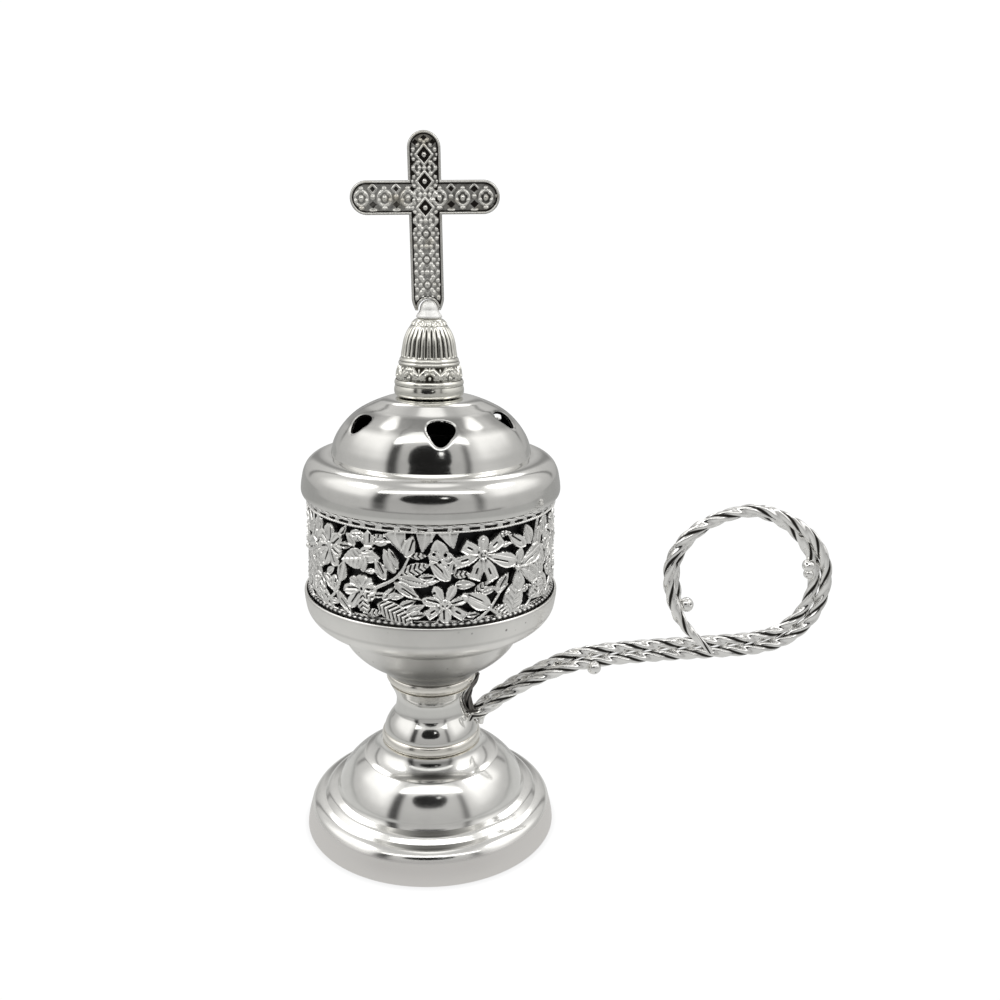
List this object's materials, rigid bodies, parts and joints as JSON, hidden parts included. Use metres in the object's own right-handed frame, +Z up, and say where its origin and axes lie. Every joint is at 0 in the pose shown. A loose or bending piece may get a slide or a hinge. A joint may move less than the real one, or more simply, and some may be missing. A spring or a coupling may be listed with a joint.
{
  "type": "footed hand censer",
  "caption": "Footed hand censer: pierced lid with a cross, openwork gallery round a lift-out charcoal cup, bowl on a waisted stem, looped finger handle.",
  "frame": {"origin": "centre of the foot's resting plane, on the turned axis", "axes": "+Z up along the turned axis, +X along the handle, -Y towards the front face of the cross"},
  "size_m": [0.1518, 0.0726, 0.1936],
  "materials": {
    "mirror_plate": "mirror-polished silver-coloured plating on spun metal",
    "satin_plate": "satin to semi-bright silver-coloured plating on spun metal",
    "warm_plate": "bright plating with a slightly warm tint where it has worn",
    "cast_plate": "bright plating over cast relief",
    "steel": "plain zinc-grey fasteners",
    "dark_iron": "dark heat-blackened sheet",
    "pad_felt": "dark pressed felt"
  },
  "bodies": {
    "standing_part": {"base_foot": "satin_plate", "base_pad": "pad_felt", "lower_collar": "warm_plate", "stem": "mirror_plate", "upper_collar": "warm_plate", "bowl": "satin_plate", "tie_rod": "steel", "foot_washer": "steel", "foot_nut": "steel", "bowl_washer": "steel", "bowl_nut": "steel", "handle_strand_front": "cast_plate", "handle_strand_back": "cast_plate", "handle_strap": "cast_plate", "handle_berry_1": "cast_plate", "handle_berry_2": "cast_plate", "handle_berry_3": "cast_plate", "handle_berry_4": "cast_plate"},
    "gallery": {"gallery_band": "cast_plate", "gallery_top_wire": "cast_plate", "gallery_bottom_wire": "cast_plate"},
    "cup": {"charcoal_cup": "dark_iron"},
    "lid": {"lid_shell": "mirror_plate", "lid_washer": "steel", "lid_nut": "steel", "lid_stud": "steel", "finial": "cast_plate", "cross_collar": "cast_plate", "cross": "cast_plate"}
  },
  "joints": [
    {"name": "gallery_turn", "type": "hinge", "parent": "standing_part", "child": "gallery", "pos_m": [0, 0, 0.0865], "axis": [0, 0, 1], "continuous": true},
    {"name": "lid_lift", "type": "slide", "parent": "gallery", "child": "lid", "axis": [0, 0, 1], "range_m": [0, 0.11]},
    {"name": "cup_lift", "type": "slide", "parent": "standing_part", "child": "cup", "axis": [0, 0, 1], "range_m": [0, 0.052]}
  ],
  "couplings": [
    {"joint": "cup_lift", "follows": "lid_lift", "ratio": 0.4727}
  ]
}
